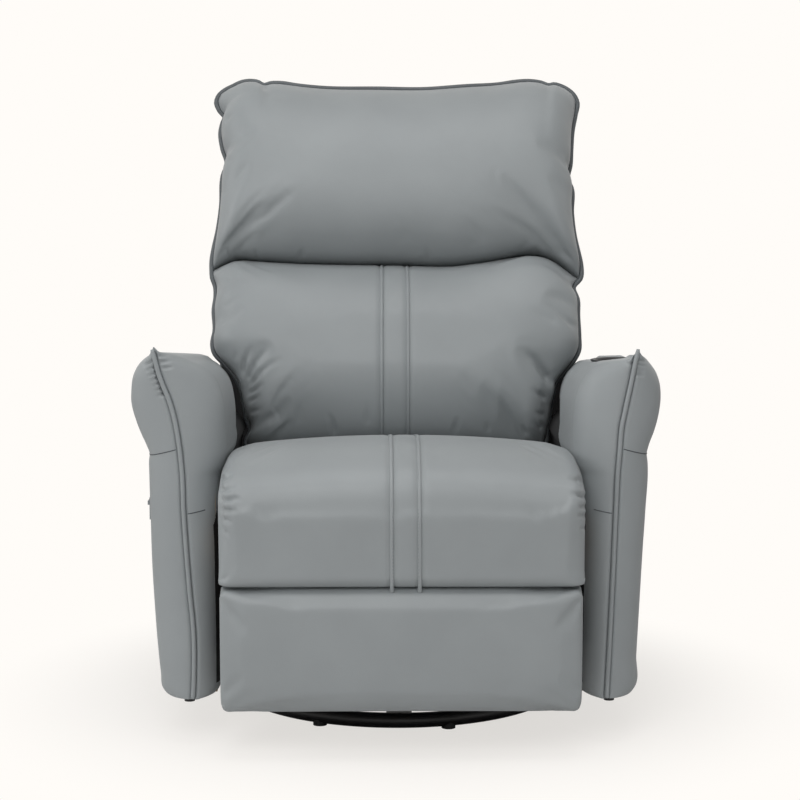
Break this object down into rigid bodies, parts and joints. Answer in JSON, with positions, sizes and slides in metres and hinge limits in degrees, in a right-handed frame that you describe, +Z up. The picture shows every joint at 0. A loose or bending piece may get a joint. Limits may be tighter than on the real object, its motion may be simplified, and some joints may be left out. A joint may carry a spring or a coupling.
{
  "type": "rocker recliner",
  "caption": "Padded swivel rocker recliner with pillow-top arms, a two-pillow leaning back, a fold-out footrest on a linkage and a ring base.",
  "frame": {"origin": "on the floor under the swivel axis, which is the middle of the chair's box", "axes": "+Z up, the sitter faces -Y, +X to the right of someone who looks at the front"},
  "size_m": [0.81, 0.897, 1.0349],
  "materials": {
    "upholstery": "matt faux leather, blue-grey",
    "black_steel": "satin black powder coat",
    "bright_steel": "zinc plated",
    "wood": "raw plywood",
    "black_plastic": "moulded, fine grain",
    "rubber": "moulded",
    "webbing": "woven elastic"
  },
  "bodies": {
    "base": {"base_ring": "black_steel", "base_glides": "black_plastic", "swivel_lower_plate": "black_steel", "swivel_balls": "bright_steel"},
    "swivel": {"swivel_upper_plate": "black_steel", "rocker_rail_left": "black_steel", "rocker_rail_right": "black_steel", "rocker_crossmembers": "black_steel", "rocker_stops": "rubber", "rocker_springs": "bright_steel"},
    "chair": {"rocker_cam_left": "wood", "rocker_cam_right": "wood", "rocker_pins": "bright_steel", "rocker_spring_bars": "black_steel", "cross_tube_front": "black_steel", "cross_tube_rear": "black_steel", "seat_rail_left": "wood", "seat_rail_right": "wood", "seat_rail_front": "wood", "seat_rail_rear": "wood", "seat_springs": "bright_steel", "seat_cushion": "upholstery", "seat_plate_left": "black_steel", "seat_plate_right": "black_steel", "base_plates": "black_steel", "seat_pins": "bright_steel", "arm_frame_left": "wood", "arm_frame_right": "wood", "arm_bolts": "bright_steel", "arm_pad_left": "upholstery", "arm_pad_right": "upholstery", "arm_glides": "black_plastic", "cup_holder": "black_plastic", "release_bezel": "black_plastic", "release_cable": "black_plastic"},
    "back": {"back_post_left": "wood", "back_post_right": "wood", "back_brackets": "black_steel", "back_rail_top": "wood", "back_rail_middle": "wood", "back_rail_bottom": "wood", "back_webbing": "webbing", "outside_back": "upholstery", "lumbar_cushion": "upholstery", "head_cushion": "upholstery"},
    "rear_links": {"rear_link_left": "black_steel", "rear_link_right": "black_steel", "footrest_cross_tube": "black_steel", "rear_link_pins": "bright_steel"},
    "front_links": {"front_link_left": "black_steel", "front_link_right": "black_steel", "front_link_pins": "bright_steel"},
    "stay_links": {"stay_links": "black_steel"},
    "tilt_links": {"tilt_links": "black_steel"},
    "footrest": {"footrest_board": "wood", "footrest_bracket_left": "black_steel", "footrest_bracket_right": "black_steel", "footrest_pad": "upholstery", "footrest_pins": "bright_steel"},
    "release": {"release_paddle": "black_plastic"}
  },
  "joints": [
    {"name": "swivel", "type": "hinge", "parent": "base", "child": "swivel", "pos_m": [0, 0, 0.031], "axis": [0, 0, 1], "continuous": true},
    {"name": "rock", "type": "hinge", "parent": "swivel", "child": "chair", "pos_m": [0, 0, 0.088], "axis": [1, 0, 0], "range_deg": [-8, 8], "stiffness_Nm_per_rad": 450, "deforming": ["rocker_springs"]},
    {"name": "recline", "type": "hinge", "parent": "chair", "child": "back", "pos_m": [0, 0.236, 0.33], "axis": [-1, 0, 0], "range_deg": [0, 45]},
    {"name": "footrest", "type": "hinge", "parent": "chair", "child": "rear_links", "pos_m": [0, -0.235, 0.262], "axis": [-1, 0, 0], "range_deg": [0, 109]},
    {"name": "release", "type": "hinge", "parent": "chair", "child": "release", "pos_m": [-0.3805, -0.24, 0.3473], "axis": [0, -1, 0], "range_deg": [0, 30], "stiffness_Nm_per_rad": 0.08, "springref_deg": -11.46},
    {"name": "footrest_front_link", "type": "hinge", "parent": "rear_links", "child": "front_links", "pos_m": [0, -0.13876, 0.081], "axis": [1, 0, 0], "range_deg": [0, 100.2]},
    {"name": "footrest_stay_link", "type": "hinge", "parent": "chair", "child": "stay_links", "pos_m": [0, -0.27, 0.2596], "axis": [-1, 0, 0], "range_deg": [0, 108.8]},
    {"name": "footrest_tilt_link", "type": "hinge", "parent": "rear_links", "child": "tilt_links", "pos_m": [0, -0.13723, 0.1056], "axis": [1, 0, 0], "range_deg": [0, 100.53]},
    {"name": "footrest_board_tilt", "type": "hinge", "parent": "front_links", "child": "footrest", "pos_m": [0, -0.37, 0.18], "axis": [-1, 0, 0], "range_deg": [0, 79.2]}
  ],
  "couplings": [
    {"joint": "footrest_front_link", "follows": "footrest", "ratio": 0.91908},
    {"joint": "footrest_stay_link", "follows": "footrest", "ratio": 0.99798},
    {"joint": "footrest_tilt_link", "follows": "footrest", "ratio": 0.92211},
    {"joint": "footrest_board_tilt", "follows": "footrest", "ratio": 0.72642}
  ]
}
